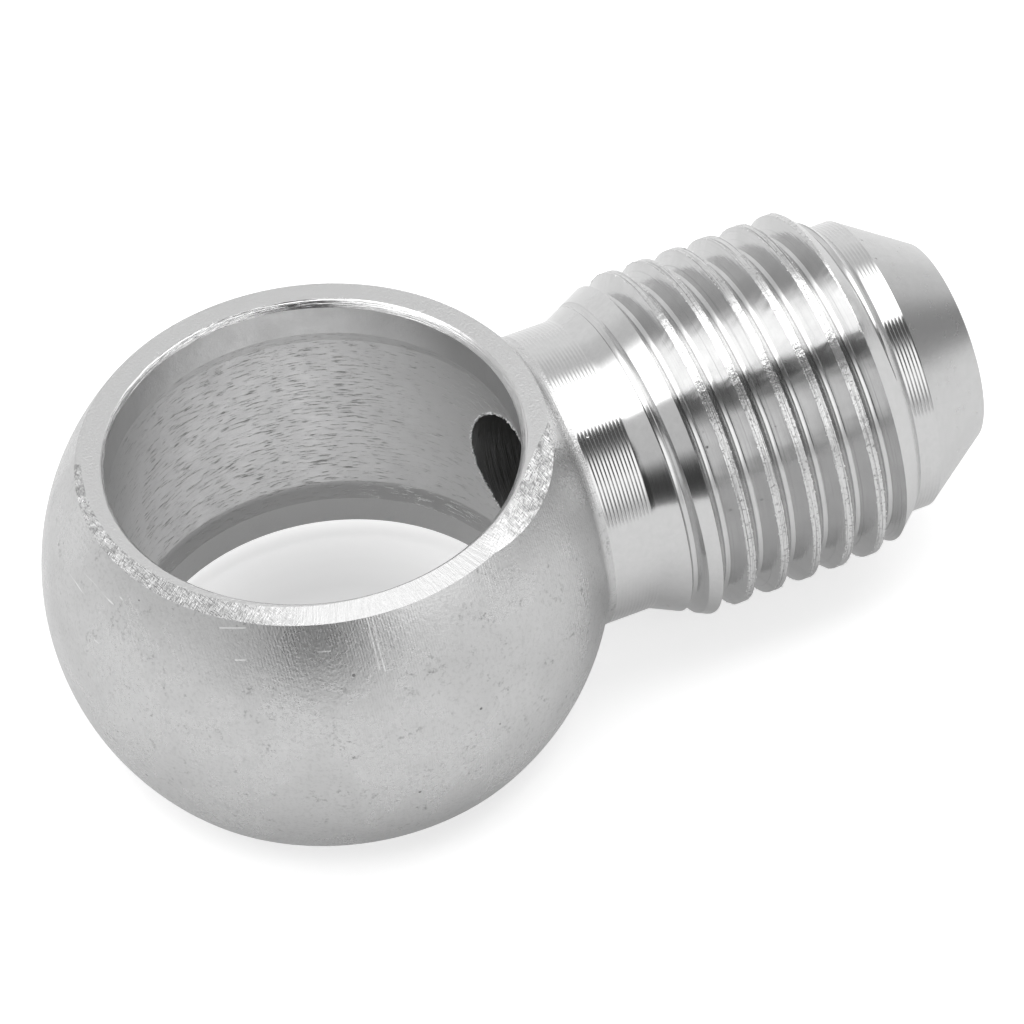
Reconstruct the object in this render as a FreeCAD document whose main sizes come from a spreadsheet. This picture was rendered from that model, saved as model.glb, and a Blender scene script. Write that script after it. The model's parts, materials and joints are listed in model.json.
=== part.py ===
"""Banjo fitting: one piece of steel, with a ball-shaped eye on a short threaded stem with a cone nose.

Frame: the origin is the middle of the eye, where the bore's axis (Z) crosses the stem's axis (X).
The stem points along +X, and the ground facet is on the upper rim. Millimetres and degrees.
"""

import FreeCAD, Part
import math
import os

import Sketcher

V = FreeCAD.Vector

# Driving dimensions: alias, value, what it is.
SIZES = [
    ("eye_height", 12.7, "from flat to flat"),
    ("bore_diameter", 16.2, "clears the banjo bolt, on both lands"),
    ("rim_width", 1.126, "width of each flat, from the bore to the ball"),
    ("upper_chamfer", 0.28, "edge of the bore at the upper flat"),
    ("lower_chamfer", 0.4, "edge of the bore at the lower flat"),
    ("relief_depth", 0.3, "oil groove turned inside the bore"),
    ("land_height", 1.65, "plain bore between each flat and the oil groove"),
    ("relief_taper", 0.7, "length of each sloped end of the groove"),
    ("neck_relief", 0.295, "plain turned neck, below the root of the thread"),
    ("neck_fillet", 0.6, "blend from the ball to the neck"),
    ("neck_length", 2.275, "from the ball to the foot of the shoulder cone"),
    ("shoulder_angle", 25.0, "slope of the shoulder cone up to the thread"),
    ("thread_diameter", 14.2, "over the crests"),
    ("thread_pitch", 1.4111, "18 turns to the inch"),
    ("thread_angle", 60.0, "between the flanks"),
    ("thread_crest", 0.34, "width of the flat crest"),
    ("thread_root", 0.2, "width of the flat root"),
    ("thread_length", 11.25, "foot of the shoulder cone to the foot of the lead-in"),
    ("thread_overrun", 0.5, "how far the thread groove starts and ends past that length"),
    ("lead_angle", 41.0, "slope of the lead-in chamfer"),
    ("nose_relief", 0.295, "plain cylinder behind the seat, below the root of the thread"),
    ("nose_length", 0.9, "plain cylinder behind the seat"),
    ("seat_angle", 34.0, "half angle of the sealing cone"),
    ("passage_diameter", 6.8, "drilled from the nose into the bore"),
    ("tip_wall", 0.73, "ring around the passage at the end of the sealing cone"),
    ("facet_land", 0.03, "left between the bore's upper chamfer and the ground facet"),
    ("facet_bearing", -42.0, "direction of the facet, from the stem"),
    ("facet_tilt", 18.0, "slope of the facet, down and outwards"),
]

# How far a cut reaches past the metal that it takes away.
CLEAR = 1.0

# Sizes worked out from the driving ones, as formulas that read the sheet.
HALF_HEIGHT = "(Sizes.eye_height / 2)"
BORE_RADIUS = "(Sizes.bore_diameter / 2)"
RIM_RADIUS = f"({BORE_RADIUS} + Sizes.rim_width)"
BALL_RADIUS = f"sqrt({RIM_RADIUS} ^ 2 + {HALF_HEIGHT} ^ 2)"
THREAD_RADIUS = "(Sizes.thread_diameter / 2)"
THREAD_GAP = "(Sizes.thread_pitch - Sizes.thread_crest)"
THREAD_SLOPE = "tan(Sizes.thread_angle / 2 * 1deg)"
THREAD_DEPTH = f"(({THREAD_GAP} - Sizes.thread_root) / 2 / {THREAD_SLOPE})"
NECK_RADIUS = f"({THREAD_RADIUS} - {THREAD_DEPTH} - Sizes.neck_relief)"
NOSE_RADIUS = f"({THREAD_RADIUS} - {THREAD_DEPTH} - Sizes.nose_relief)"
TIP_RADIUS = "(Sizes.passage_diameter / 2 + Sizes.tip_wall)"
SHOULDER_FOOT = f"(sqrt({BALL_RADIUS} ^ 2 - {NECK_RADIUS} ^ 2) + Sizes.neck_length)"
THREAD_FOOT = f"({SHOULDER_FOOT} + Sizes.thread_length)"
SEAT_START = f"({THREAD_FOOT} + Sizes.nose_length)"
RELIEF_RADIUS = f"({BORE_RADIUS} + Sizes.relief_depth)"
RELIEF_TOP = f"({HALF_HEIGHT} - Sizes.land_height)"
FACET_INNER = f"({BORE_RADIUS} + Sizes.upper_chamfer + Sizes.facet_land)"

doc = FreeCAD.newDocument("BanjoFitting")

sheet = doc.addObject("Spreadsheet::Sheet", "Sizes")
for row, (alias, value, meaning) in enumerate(SIZES, start=1):
    sheet.set(f"A{row}", meaning)
    sheet.set(f"B{row}", str(value))
    sheet.setAlias(f"B{row}", alias)
doc.recompute()

body = doc.addObject("PartDesign::Body", "BanjoBody")
body.Label = "banjo_body"


def worked(formula):
    """The number that a formula gives now."""
    return float(body.evalExpression(formula))


def slope(alias):
    """A driving angle, in radians."""
    return math.radians(float(sheet.get(alias)))


def origin_part(role):
    """A plane or an axis of the body's own origin."""
    return next(part for part in body.Origin.OriginFeatures if part.Role == role)


def new_sketch(name, plane):
    """An empty sketch on one of the body's origin planes."""
    sketch = body.newObject("Sketcher::SketchObject", name)
    sketch.AttachmentSupport = [(origin_part(plane), "")]
    sketch.MapMode = "FlatFace"
    return sketch


def constrain(sketch, *definition):
    """Add a constraint that has no size."""
    return sketch.addConstraint(Sketcher.Constraint(*definition))


def dimension(sketch, name, formula, *definition):
    """Add a constraint whose size comes from the sheet."""
    sketch.renameConstraint(constrain(sketch, *definition), name)
    sketch.setExpression(f"Constraints.{name}", formula)


def place_x(sketch, line, name, formula):
    """Dimension the start of a line along the sketch's first axis, from the origin."""
    dimension(sketch, name, formula, "DistanceX", -1, 1, line, 1, worked(formula))


def place_y(sketch, line, name, formula):
    """Dimension the start of a line along the sketch's second axis, from the origin."""
    dimension(sketch, name, formula, "DistanceY", -1, 1, line, 1, worked(formula))


def tilt(sketch, alias, *corner):
    """Dimension the angle between two lines."""
    dimension(sketch, alias, f"Sizes.{alias} * 1deg", "Angle", *corner, slope(alias))


def chain(sketch, points):
    """Lines through the points, each joined to the next."""
    lines = [
        sketch.addGeometry(Part.LineSegment(V(*start, 0), V(*end, 0)), False)
        for start, end in zip(points, points[1:])
    ]
    for line, following in zip(lines, lines[1:]):
        constrain(sketch, "Coincident", line, 2, following, 1)
    return lines


def closed_chain(sketch, points):
    """A chain of lines that ends where it starts."""
    lines = chain(sketch, points + points[:1])
    constrain(sketch, "Coincident", lines[-1], 2, lines[0], 1)
    return lines


def arc(sketch, name, formula, centre, start, end):
    """An arc of a circle, anticlockwise from one angle to the other."""
    whole = Part.Circle(V(*centre, 0), V(0, 0, 1), worked(formula))
    curve = sketch.addGeometry(Part.ArcOfCircle(whole, start, end), False)
    dimension(sketch, name, formula, "Radius", curve, worked(formula))
    return curve


def circle(sketch, radius):
    """A circle about the sketch's origin."""
    ring = sketch.addGeometry(Part.Circle(V(0, 0, 0), V(0, 0, 1), worked(radius)), False)
    constrain(sketch, "Coincident", ring, 3, -1, 1)
    dimension(sketch, "radius", radius, "Radius", ring, worked(radius))


def feature(kind, name, settings, formulas):
    """Add a feature to the body and make it the body's last one."""
    added = body.newObject(kind, name)
    for key, value in settings.items():
        setattr(added, key, value)
    for key, formula in formulas.items():
        added.setExpression(key, formula)
    body.Tip = added
    doc.recompute()
    return added


def cut(kind, name, sketch, formulas=None, **settings):
    """Add a cutting feature and make sure that it takes metal away."""
    before = body.Shape.Volume
    added = feature(kind, name, {"Profile": sketch, **settings}, formulas or {})
    if not added.isValid() or body.Shape.Volume >= before:
        raise RuntimeError(f"{name} cuts nothing")
    return added


def same(one, other):
    return abs(one - other) < 1e-4


def chamfer_edges(name, formulas, wanted):
    """Chamfer the circular edges whose centre and radius pass the test."""
    base = body.Tip
    edges = [
        f"Edge{number}"
        for number, edge in enumerate(base.Shape.Edges, start=1)
        if not edge.Degenerated
        and isinstance(edge.Curve, Part.Circle)
        and wanted(edge.Curve.Center, edge.Curve.Radius)
    ]
    feature("PartDesign::Chamfer", name, {"Base": (base, edges)}, formulas)


def turned_blank():
    """Ball, neck, shoulder cone, thread blank, lead-in, nose and seat, turned about the stem's axis."""
    ball_radius = worked(BALL_RADIUS)
    neck_radius = worked(NECK_RADIUS)
    thread_radius = worked(THREAD_RADIUS)
    nose_radius = worked(NOSE_RADIUS)
    tip_radius = worked(TIP_RADIUS)
    fillet = worked("Sizes.neck_fillet")
    fillet_x = math.sqrt((ball_radius + fillet) ** 2 - (neck_radius + fillet) ** 2)
    fillet_y = neck_radius + fillet
    blend = math.atan2(fillet_y, fillet_x)
    shoulder_foot = worked(SHOULDER_FOOT)
    shoulder = (thread_radius - neck_radius) / math.tan(slope("shoulder_angle"))
    thread_foot = worked(THREAD_FOOT)
    lead = (thread_radius - nose_radius) / math.tan(slope("lead_angle"))
    seat_start = worked(SEAT_START)
    stem_end = seat_start + (nose_radius - tip_radius) / math.tan(slope("seat_angle"))

    sketch = new_sketch("TurnedProfile", "XZ_Plane")
    lines = chain(
        sketch,
        [
            (fillet_x, neck_radius),
            (shoulder_foot, neck_radius),
            (shoulder_foot + shoulder, thread_radius),
            (thread_foot - lead, thread_radius),
            (thread_foot, nose_radius),
            (seat_start, nose_radius),
            (stem_end, tip_radius),
            (stem_end, 0),
            (-ball_radius, 0),
        ],
    )
    neck, cone, thread_line, lead_in, nose, seat, end_face, axis = lines
    ball = arc(sketch, "ball", BALL_RADIUS, (0, 0), blend, math.pi)
    hollow_centre = (fillet_x, fillet_y)
    hollow = arc(sketch, "fillet", "Sizes.neck_fillet", hollow_centre, math.pi + blend, 1.5 * math.pi)
    constrain(sketch, "Tangent", ball, 1, hollow, 1)
    constrain(sketch, "Tangent", hollow, 2, neck, 1)
    constrain(sketch, "Coincident", ball, 2, axis, 2)
    constrain(sketch, "Coincident", ball, 3, -1, 1)
    constrain(sketch, "PointOnObject", axis, 2, -1)
    for level in (neck, thread_line, nose, axis):
        constrain(sketch, "Horizontal", level)
    constrain(sketch, "Vertical", end_face)
    place_y(sketch, neck, "neck", NECK_RADIUS)
    place_y(sketch, thread_line, "crest", THREAD_RADIUS)
    place_y(sketch, nose, "nose", NOSE_RADIUS)
    place_y(sketch, end_face, "tip", TIP_RADIUS)
    place_x(sketch, cone, "shoulder_foot", SHOULDER_FOOT)
    place_x(sketch, nose, "thread_foot", THREAD_FOOT)
    place_x(sketch, seat, "seat_start", SEAT_START)
    tilt(sketch, "shoulder_angle", -1, 1, cone, 1)
    tilt(sketch, "lead_angle", lead_in, 2, -1, 2)
    tilt(sketch, "seat_angle", seat, 2, -1, 2)

    turning = {"Profile": sketch, "ReferenceAxis": (sketch, ["H_Axis"]), "Angle": 360}
    feature("PartDesign::Revolution", "TurnedBlank", turning, {})


def flats():
    """Upper flat milled off the ball, and the lower one mirrored from it."""
    sketch = new_sketch("FlatOutline", "XY_Plane")
    sketch.setExpression("AttachmentOffset.Base.z", HALF_HEIGHT)
    circle(sketch, BALL_RADIUS)
    upper = cut("PartDesign::Pocket", "UpperFlat", sketch, Type="ThroughAll", Reversed=True)
    mirror_plane = (origin_part("XY_Plane"), [""])
    mirroring = {"Originals": [upper], "MirrorPlane": mirror_plane}
    feature("PartDesign::Mirrored", "LowerFlat", mirroring, {})


def bore():
    """The bolt's bore through the eye."""
    sketch = new_sketch("BoreCircle", "XY_Plane")
    circle(sketch, BORE_RADIUS)
    cut("PartDesign::Pocket", "Bore", sketch, Type="ThroughAll", Midplane=True)


def oil_groove():
    """Shallow groove with sloped ends, turned inside the bore between its two lands."""
    bore_radius = worked(BORE_RADIUS)
    relief_radius = worked(RELIEF_RADIUS)
    top = worked(RELIEF_TOP)
    wall_top = top - worked("Sizes.relief_taper")
    inside = bore_radius - CLEAR
    sketch = new_sketch("ReliefProfile", "XZ_Plane")
    lines = closed_chain(
        sketch,
        [
            (inside, top),
            (bore_radius, top),
            (relief_radius, wall_top),
            (relief_radius, -wall_top),
            (bore_radius, -top),
            (inside, -top),
        ],
    )
    upper_edge, upper_slope, wall, lower_slope, lower_edge, back = lines
    constrain(sketch, "Horizontal", upper_edge)
    constrain(sketch, "Horizontal", lower_edge)
    constrain(sketch, "Vertical", back)
    constrain(sketch, "Symmetric", wall, 1, wall, 2, -1)
    constrain(sketch, "Symmetric", upper_slope, 1, lower_slope, 2, -1)
    place_x(sketch, upper_edge, "inside", f"{BORE_RADIUS} - {CLEAR}")
    place_x(sketch, upper_slope, "land", BORE_RADIUS)
    place_x(sketch, wall, "relief", RELIEF_RADIUS)
    place_y(sketch, upper_edge, "top", RELIEF_TOP)
    place_y(sketch, wall, "wall_top", f"{RELIEF_TOP} - Sizes.relief_taper")
    cut("PartDesign::Groove", "OilGroove", sketch, ReferenceAxis=(sketch, ["V_Axis"]), Angle=360)


def bore_edges():
    """Chamfers where the bore meets the two flats."""
    bore_radius = worked(BORE_RADIUS)
    half_height = worked(HALF_HEIGHT)
    for name, level, alias in (
        ("UpperEdge", half_height, "upper_chamfer"),
        ("LowerEdge", -half_height, "lower_chamfer"),
    ):
        chamfer_edges(
            name,
            {"Size": f"Sizes.{alias}"},
            lambda centre, radius: same(centre.z, level) and same(radius, bore_radius),
        )


def passage():
    """The hole drilled along the stem, from the nose into the bore."""
    sketch = new_sketch("PassageCircle", "YZ_Plane")
    circle(sketch, "Sizes.passage_diameter / 2")
    cut("PartDesign::Pocket", "Passage", sketch, Type="ThroughAll", Reversed=True)


def ground_facet():
    """Shallow slope ground by hand on the outer edge of the upper rim."""
    outer_formula = f"{RIM_RADIUS} + {CLEAR}"
    inner = worked(FACET_INNER)
    outer = worked(outer_formula)
    half_height = worked(HALF_HEIGHT)
    drop = (outer - inner) * math.tan(slope("facet_tilt"))
    above = half_height + CLEAR
    sketch = new_sketch("FacetProfile", "XZ_Plane")
    turned = FreeCAD.Rotation(V(0, 1, 0), worked("Sizes.facet_bearing"))
    sketch.AttachmentOffset = FreeCAD.Placement(V(0, 0, 0), turned)
    sketch.setExpression("AttachmentOffset.Rotation.Angle", "Sizes.facet_bearing * 1deg")
    lines = closed_chain(
        sketch,
        [
            (inner, half_height),
            (outer, half_height - drop),
            (outer, above),
            (inner, above),
        ],
    )
    sloped, outside, over, inside = lines
    constrain(sketch, "Horizontal", over)
    constrain(sketch, "Vertical", outside)
    constrain(sketch, "Vertical", inside)
    place_x(sketch, sloped, "inner", FACET_INNER)
    place_y(sketch, sloped, "flat", HALF_HEIGHT)
    place_x(sketch, outside, "outer", outer_formula)
    place_y(sketch, inside, "above", f"{HALF_HEIGHT} + {CLEAR}")
    tilt(sketch, "facet_tilt", sloped, 2, -1, 2)
    chord = f"2 * sqrt({RIM_RADIUS} ^ 2 - {FACET_INNER} ^ 2) + {CLEAR}"
    cut("PartDesign::Pocket", "GroundFacet", sketch, {"Length": chord}, Midplane=True)


def thread():
    """Right-hand helical groove with sloped flanks, open at both ends of the thread blank."""
    half_angle = slope("thread_angle") / 2
    half_root = worked("Sizes.thread_root / 2")
    start_formula = f"{SHOULDER_FOOT} - Sizes.thread_overrun"
    start = worked(start_formula)

    # The groove's mouth stands a little proud of the crests, by less than would join two turns.
    mouth_formula = f"({THREAD_RADIUS} + Sizes.thread_crest / 2)"
    mouth = worked(mouth_formula)
    half_mouth_formula = f"({THREAD_GAP} / 2 + Sizes.thread_crest / 2 * {THREAD_SLOPE})"
    half_mouth = worked(half_mouth_formula)
    bottom = mouth - (half_mouth - half_root) / math.tan(half_angle)

    sketch = new_sketch("ThreadProfile", "XZ_Plane")
    top, left_flank, root, right_flank = closed_chain(
        sketch,
        [
            (start + half_mouth, mouth),
            (start - half_mouth, mouth),
            (start - half_root, bottom),
            (start + half_root, bottom),
        ],
    )
    constrain(sketch, "Horizontal", top)
    constrain(sketch, "Horizontal", root)
    constrain(sketch, "Equal", left_flank, right_flank)
    place_x(sketch, top, "right", f"{start_formula} + {half_mouth_formula}")
    place_x(sketch, left_flank, "left", f"{start_formula} - {half_mouth_formula}")
    place_y(sketch, top, "mouth", mouth_formula)
    flanks = ("Angle", left_flank, right_flank, math.pi - 2 * half_angle)
    dimension(sketch, "flanks", "180deg - Sizes.thread_angle * 1deg", *flanks)
    across = ("DistanceX", root, 1, root, 2, 2 * half_root)
    dimension(sketch, "root", "Sizes.thread_root", *across)

    pitch_formula = "Sizes.thread_pitch"
    height_formula = "Sizes.thread_length + 2 * Sizes.thread_overrun"
    cut(
        "PartDesign::SubtractiveHelix",
        "Thread",
        sketch,
        {"Pitch": pitch_formula, "Height": height_formula},
        ReferenceAxis=(sketch, ["H_Axis"]),
        Mode="pitch-height-angle",
        Angle=0,
        LeftHanded=False,
        Pitch=worked(pitch_formula),
        Height=worked(height_formula),
    )


turned_blank()
flats()
bore()
oil_groove()
bore_edges()
passage()
ground_facet()
thread()

for item in doc.Objects:
    if {"Invalid", "Error"} & set(item.State):
        raise RuntimeError(f"{item.Name} is in state {item.State}")
    if item.isDerivedFrom("Sketcher::SketchObject") and not item.FullyConstrained:
        raise RuntimeError(f"{item.Name} isn't fully constrained")
if body.Shape.isNull() or not body.Shape.isValid() or len(body.Shape.Solids) != 1:
    raise RuntimeError(f"{body.Label} isn't one valid solid")

os.makedirs("parts", exist_ok=True)
body.Shape.exportStep(f"parts/{body.Label}.step")
print(f"{body.Label}: {body.Shape.Volume:.2f} mm3")
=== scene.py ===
"""Banjo fitting: a turned, drilled and threaded steel body, its burrs, and a white studio."""

import json
import math

import bpy
from mathutils import Matrix, Vector, noise


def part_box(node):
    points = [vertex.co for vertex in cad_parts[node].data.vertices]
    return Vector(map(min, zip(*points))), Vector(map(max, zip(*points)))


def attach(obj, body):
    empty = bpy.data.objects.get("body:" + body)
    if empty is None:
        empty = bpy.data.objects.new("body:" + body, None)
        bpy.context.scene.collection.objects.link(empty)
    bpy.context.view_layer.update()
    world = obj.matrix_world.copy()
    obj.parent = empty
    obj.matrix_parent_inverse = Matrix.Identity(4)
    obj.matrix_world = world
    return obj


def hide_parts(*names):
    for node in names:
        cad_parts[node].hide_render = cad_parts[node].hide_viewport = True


bl_info = {
    "name": "Banjo Fitting",
    "version": (1, 0, 0),
    "blender": (4, 5, 0),
    "location": "3D Viewport > Sidebar > Fitting",
    "description": "Builds a turned steel banjo fitting with its tool marks, and a white studio",
    "category": "Object",
}

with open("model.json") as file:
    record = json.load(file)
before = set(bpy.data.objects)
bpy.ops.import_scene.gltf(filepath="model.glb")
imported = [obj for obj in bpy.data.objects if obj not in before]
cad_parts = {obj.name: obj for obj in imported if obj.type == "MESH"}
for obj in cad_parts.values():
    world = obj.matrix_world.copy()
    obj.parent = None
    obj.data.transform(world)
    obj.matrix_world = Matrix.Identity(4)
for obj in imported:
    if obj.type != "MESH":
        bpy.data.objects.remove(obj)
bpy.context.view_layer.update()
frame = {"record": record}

MM = 0.001
DEG = math.pi / 180

MOUNTS = {mount["name"]: mount for mount in frame["record"]["mounts"]}
LOW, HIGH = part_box("banjo_body")


def length(name, description, default):
    """A length that the user can set, in metres."""
    return bpy.props.FloatProperty(
        name=name, description=description, default=default, unit="LENGTH", precision=5
    )


def angle(name, description, default):
    """An angle that the user can set, given in degrees."""
    return bpy.props.FloatProperty(
        name=name, description=description, default=default * DEG, subtype="ANGLE"
    )


class EyeSizes(bpy.types.PropertyGroup):
    """Sizes of the ball-shaped eye."""

    ball_radius: length("Ball radius", "Outside of the turned ball", -LOW[0])
    half_height: length(
        "Half height", "From the middle to each flat", MOUNTS["upper_seal_face"]["pos_m"][2]
    )
    bore_radius: length(
        "Bore radius", "Both lands of the bore", MOUNTS["banjo_bore"]["dims"]["r_mm"] * MM
    )
    upper_chamfer: length("Upper chamfer", "Edge of the bore at the upper flat", 0.28 * MM)
    lower_chamfer: length("Lower chamfer", "Edge of the bore at the lower flat", 0.4 * MM)
    groove_depth: length("Groove depth", "Oil groove in the bore's wall", 0.3 * MM)
    land_height: length("Land height", "Plain bore between each flat and the groove", 1.65 * MM)
    groove_taper: length("Groove taper", "Length of each sloped end of the groove", 0.7 * MM)
    edge_break: length("Edge break", "Width of the broken edges", 0.05 * MM)
    facet_land: length("Facet land", "From the bore's chamfer to the ground facet", 0.03 * MM)
    facet_bearing: angle("Facet bearing", "Direction of the facet, from the stem", -42)
    facet_tilt: angle("Facet tilt", "Slope of the facet, down and outwards", 18)
    edge_bulge: length("Edge bulge", "How far the bore's upper chamfer is rounded", 0.03 * MM)
    edge_slide: length("Edge slide", "How far the upper chamfer is off centre", 0.08 * MM)
    edge_bearing: angle("Edge bearing", "Direction in which the upper chamfer is widest", 20)
    crescent_radius: length("Crescent radius", "Inner edge of the hand-ground crescent", 8.79 * MM)
    crescent_offset: length("Crescent offset", "Its centre, behind the bore's axis", 0.5 * MM)
    crescent_tilt: angle("Crescent tilt", "Slope of the crescent, down and outwards", 4)
    crescent_start: angle("Crescent start", "Bearing where the crescent begins, on the left", 160)
    crescent_end: angle("Crescent end", "Bearing where the crescent runs out, on the right", -37)


class StemSizes(bpy.types.PropertyGroup):
    """Sizes of the neck, the thread and the nose."""

    end: length("Stem end", "Bore axis to the end of the nose", HIGH[0])
    passage_radius: length(
        "Passage radius", "Hole along the stem", MOUNTS["oil_passage"]["dims"]["r_mm"] * MM
    )
    neck_radius: length("Neck radius", "Neck and nose cylinder", 6.0506 * MM)
    neck_fillet: length("Neck fillet", "Blend from the ball to the neck", 0.6 * MM)
    shoulder_foot: length("Shoulder foot", "Bore axis to the foot of the shoulder cone", 11.7 * MM)
    shoulder_angle: angle("Shoulder angle", "Slope of the shoulder cone", 25)
    lead_foot: length("Lead-in foot", "Bore axis to the foot of the lead-in", 22.95 * MM)
    lead_angle: angle("Lead-in angle", "Slope of the lead-in chamfer", 41)
    seat_start: length("Seat start", "Bore axis to the sealing cone", 23.85 * MM)
    seat_angle: angle("Seat angle", "Half angle of the sealing cone", 34)
    tool_feed: length("Tool feed", "Pitch of the rings on the neck and the nose", 0.145 * MM)
    tool_nose: length("Tool nose", "Radius of the turning tool's tip", 0.22 * MM)


class ThreadSizes(bpy.types.PropertyGroup):
    """Sizes of the thread."""

    radius: length("Crest radius", "Over the crests", HIGH[2])
    pitch: length("Pitch", "18 turns to the inch", 1.4111 * MM)
    half_angle: angle("Half angle", "Slope of each flank, from square to the stem", 30)
    crest: length("Crest width", "Width of the flat crest", 0.34 * MM)
    root: length("Root width", "Width across the foot of the flanks", 0.2 * MM)
    root_rounding: length("Root rounding", "Radius at each side of the root", 0.1 * MM)
    start: length("Groove start", "Bore axis to the groove's first end, below", 10.494 * MM)
    turns: bpy.props.FloatProperty(name="Turns", description="Turns of the groove", default=9.18)
    burr: length("Burr", "Height of the ragged edges of the crests", 0.02 * MM)


class StudioSettings(bpy.types.PropertyGroup):
    """The light, the floor and the camera."""

    azimuth: angle("Azimuth", "Turn of the camera about the upright axis", -19.202)
    elevation: angle("Elevation", "Height of the camera over the horizon", 45.722)
    roll: angle("Roll", "Turn of the camera about its own axis", -5.970)
    place: bpy.props.FloatVectorProperty(
        name="Camera place",
        description="Where the camera stands",
        default=(-56.685 * MM, -185.377 * MM, 200.412 * MM),
        subtype="TRANSLATION",
    )
    focal_length: bpy.props.FloatProperty(
        name="Focal length", description="Of the camera, on a 36 mm sensor", default=249.46
    )
    surround: bpy.props.FloatProperty(
        name="Surround", description="Brightness of the white surround", default=0.75
    )
    softbox: bpy.props.FloatProperty(
        name="Softbox", description="Brightness of the soft light overhead", default=3.0
    )


def millimetres(group, *names):
    """One or more lengths of a settings group, in millimetres, which the mesh code works in."""
    lengths = [getattr(group, name) / MM for name in names]
    return lengths if len(names) > 1 else lengths[0]


# Plain meshes


def link(obj):
    bpy.context.scene.collection.objects.link(obj)
    return obj


def mesh_object(name, vertices, faces, materials=(), indices=None):
    """An object in the scene from vertices and faces, with each face's material."""
    mesh = bpy.data.meshes.new(name)
    mesh.from_pydata(vertices, [], faces)
    for material in materials:
        mesh.materials.append(material)
    if indices is not None:
        mesh.polygons.foreach_set("material_index", indices)
    mesh.update()
    return link(bpy.data.objects.new(name, mesh))


def turned(name, profile, finishes, columns, materials, phase=0.0, worn=None):
    """Turn a profile of (along, out) points about the X axis. Both ends of it lie on the axis.

    Where it is worn, that function gives each point's own (along, out) for its step around.
    """
    rings = profile[1:-1]
    steps = [2 * math.pi * (column + phase) / columns for column in range(columns)]
    vertices = [(profile[0][0], 0, 0), (profile[-1][0], 0, 0)]
    for along, out in rings:
        for step in steps:
            near, wide = worn(along, out, step) if worn else (along, out)
            vertices.append((near, wide * math.cos(step), wide * math.sin(step)))

    faces = []
    indices = []
    for column in range(columns):
        beside = (column + 1) % columns
        first = 2
        last = 2 + (len(rings) - 1) * columns
        faces.append((0, first + beside, first + column))
        indices.append(finishes[0])
        for row in range(len(rings) - 1):
            near = 2 + row * columns
            far = near + columns
            faces.append((near + column, near + beside, far + beside, far + column))
            indices.append(finishes[row + 1])
        faces.append((1, last + column, last + beside))
        indices.append(finishes[-1])
    return mesh_object(name, vertices, faces, materials, indices)


def stand_up(obj):
    """Turn what was turned about X so that its axis is Z."""
    obj.data.transform(Matrix.Rotation(-math.pi / 2, 4, "Y"))


def bearing_of(step):
    """The direction, from the stem, in which a point lies once its turned object stands up."""
    return math.remainder(step + math.pi / 2, 2 * math.pi)


def smooth(value, start, end):
    """Rise gently from 0 to 1 as a value goes from start to end."""
    part = min(max((value - start) / (end - start), 0.0), 1.0)
    return part * part * (3 - 2 * part)


class Profile:
    """An outline of (along, out) points, where each stretch has a finish."""

    def __init__(self, along, out):
        self.points = [(along, out)]
        self.finishes = []

    def to(self, along, out, finish, rows=1):
        """A straight stretch, in equal rows."""
        start = self.points[-1]
        for row in range(1, rows + 1):
            part = row / rows
            self.points.append(
                (start[0] + (along - start[0]) * part, start[1] + (out - start[1]) * part)
            )
            self.finishes.append(finish)

    def around(self, centre, radius, start, end, rows, finish):
        """An arc of a circle about a point, from one angle to the other."""
        for row in range(1, rows + 1):
            turn = start + (end - start) * row / rows
            self.points.append(
                (centre[0] + radius * math.cos(turn), centre[1] + radius * math.sin(turn))
            )
            self.finishes.append(finish)

    def ringed(self, along, feed, nose, finish, rows=5):
        """A cylinder with the hollow rings that a round-nosed tool leaves."""
        start, out = self.points[-1]
        count = max(1, round(abs(along - start) / feed))
        step = (along - start) / count
        for ring in range(count):
            for row in range(1, rows + 1):
                part = row / rows
                offset = (part - 0.5) * step
                dip = (step * step / 4 - offset * offset) / (2 * nose)
                self.points.append((start + (ring + part) * step, out - dip))
                self.finishes.append(finish)


# Node trees


def wire(tree, source, target):
    tree.links.new(source, target)


def new_group(kind, name, inputs, output, output_kind):
    """An empty node group with its sockets: the tree, its inputs and its output node.

    An input has its default, or the kind of its socket where it has none.
    """
    tree = bpy.data.node_groups.new(name, f"{kind}NodeTree")
    kinds = {float: "Float", int: "Int"}
    for socket, default in inputs.items():
        sized = type(default) in kinds
        socket_type = "NodeSocket" + (kinds[type(default)] if sized else default)
        made = tree.interface.new_socket(socket, in_out="INPUT", socket_type=socket_type)
        if sized:
            made.default_value = default
    socket_type = "NodeSocket" + output_kind
    tree.interface.new_socket(output, in_out="OUTPUT", socket_type=socket_type)
    given = tree.nodes.new("NodeGroupInput").outputs
    result = tree.nodes.new("NodeGroupOutput")
    return tree, given, result


def mark_group(name, output, inputs):
    """An empty shader group that gives one value from 0 to 1."""
    return new_group("Shader", name, inputs, output, "Float")


def node(tree, kind, settings=None, inputs=None):
    """Add a node, set its properties, and set or connect its inputs."""
    made = tree.nodes.new(kind)
    for key, value in (settings or {}).items():
        setattr(made, key, value)
    for key, value in (inputs or {}).items():
        if isinstance(value, bpy.types.NodeSocket):
            tree.links.new(value, made.inputs[key])
        else:
            made.inputs[key].default_value = value
    return made


def sums(tree, operation, *values):
    """A Math node on one to three values, and its result."""
    inputs = dict(enumerate(values))
    return node(tree, "ShaderNodeMath", {"operation": operation}, inputs).outputs[0]


def vectors(tree, operation, *values, output="Vector", **named):
    """A Vector Math node, and its result."""
    inputs = {**dict(enumerate(values)), **named}
    return node(tree, "ShaderNodeVectorMath", {"operation": operation}, inputs).outputs[output]


def apart(tree, vector):
    """The three parts of a vector."""
    return node(tree, "ShaderNodeSeparateXYZ", None, {0: vector}).outputs


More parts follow.
